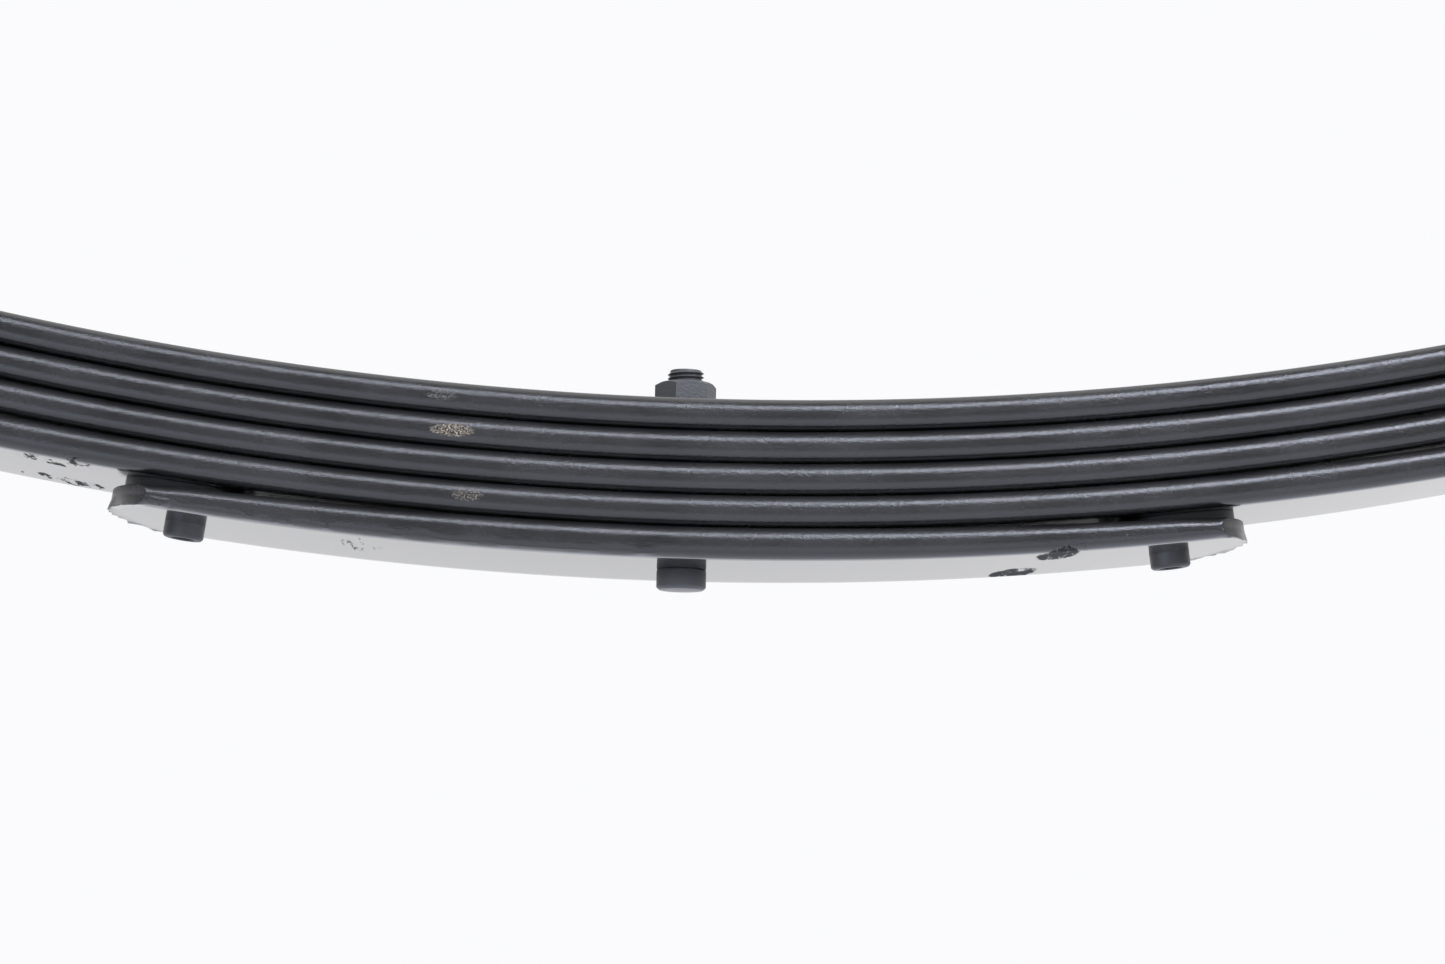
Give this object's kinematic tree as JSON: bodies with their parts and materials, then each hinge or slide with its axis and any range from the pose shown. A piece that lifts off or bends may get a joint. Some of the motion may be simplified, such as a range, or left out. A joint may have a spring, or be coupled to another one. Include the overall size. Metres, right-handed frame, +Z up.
{
  "type": "leaf spring",
  "caption": "Multi-leaf semi-elliptic vehicle spring pack with graduated tapered leaves, centre bolt, tip liners, rebound clips and bushed eyes.",
  "frame": {"origin": "centre of the centre bolt's round head where it meets the underside of the short leaf; the spring seat's locating hole takes that head", "axes": "+X along the spring towards the rear eye, +Y across the leaves, +Z up along the centre bolt towards its nut"},
  "size_m": [1.0818, 0.0901, 0.2498],
  "materials": {
    "leaf_paint": "charcoal paint, satin, fine spray texture",
    "fastener_paint": "charcoal paint over steel, satin",
    "liner_plastic": "black moulded nylon with paint overspray on the stem",
    "clip_paint": "charcoal paint, satin",
    "clip_fastener": "zinc plated",
    "shell_steel": "black painted tube",
    "bush_rubber": "moulded black rubber",
    "sleeve_zinc": "zinc plated steel tube"
  },
  "bodies": {
    "leaf_pack": {"main_leaf": "leaf_paint", "second_leaf": "leaf_paint", "third_leaf": "leaf_paint", "fourth_leaf": "leaf_paint", "short_leaf": "leaf_paint", "centre_bolt": "fastener_paint", "centre_nut": "fastener_paint", "front_short_liner": "liner_plastic", "rear_short_liner": "liner_plastic"},
    "front_half": {"front_fourth_liner": "liner_plastic", "front_third_liner": "liner_plastic", "front_second_liner": "liner_plastic", "front_bush_shell": "shell_steel", "front_bush_rubber": "bush_rubber", "front_clip_strap": "clip_paint", "front_clip_rivet": "clip_paint", "front_clip_tube": "clip_paint", "front_clip_bolt": "clip_fastener", "front_clip_nut": "clip_fastener"},
    "front_sleeve": {"front_bush_sleeve": "sleeve_zinc"},
    "rear_half": {"rear_fourth_liner": "liner_plastic", "rear_third_liner": "liner_plastic", "rear_second_liner": "liner_plastic", "rear_bush_shell": "shell_steel", "rear_bush_rubber": "bush_rubber", "rear_clip_strap": "clip_paint", "rear_clip_rivet": "clip_paint", "rear_clip_tube": "clip_paint", "rear_clip_bolt": "clip_fastener", "rear_clip_nut": "clip_fastener"},
    "rear_sleeve": {"rear_bush_sleeve": "sleeve_zinc"}
  },
  "joints": [
    {"name": "front_flex", "type": "hinge", "parent": "leaf_pack", "child": "front_half", "pos_m": [-0.135, 0, 0.03], "axis": [0, -1, 0], "range_deg": [-3, 16], "stiffness_Nm_per_rad": 5000, "deforming": ["main_leaf", "second_leaf", "third_leaf", "fourth_leaf", "short_leaf"]},
    {"name": "rear_flex", "type": "hinge", "parent": "leaf_pack", "child": "rear_half", "pos_m": [0.135, 0, 0.03], "axis": [0, 1, 0], "range_deg": [-3, 16], "stiffness_Nm_per_rad": 5000, "deforming": ["main_leaf", "second_leaf", "third_leaf", "fourth_leaf", "short_leaf"]},
    {"name": "front_eye_twist", "type": "hinge", "parent": "front_half", "child": "front_sleeve", "pos_m": [-0.51376, 0, 0.21735], "axis": [0, 1, 0], "range_deg": [-20, 20], "stiffness_Nm_per_rad": 60},
    {"name": "rear_eye_twist", "type": "hinge", "parent": "rear_half", "child": "rear_sleeve", "pos_m": [0.51376, 0, 0.21735], "axis": [0, 1, 0], "range_deg": [-20, 20], "stiffness_Nm_per_rad": 60}
  ]
}
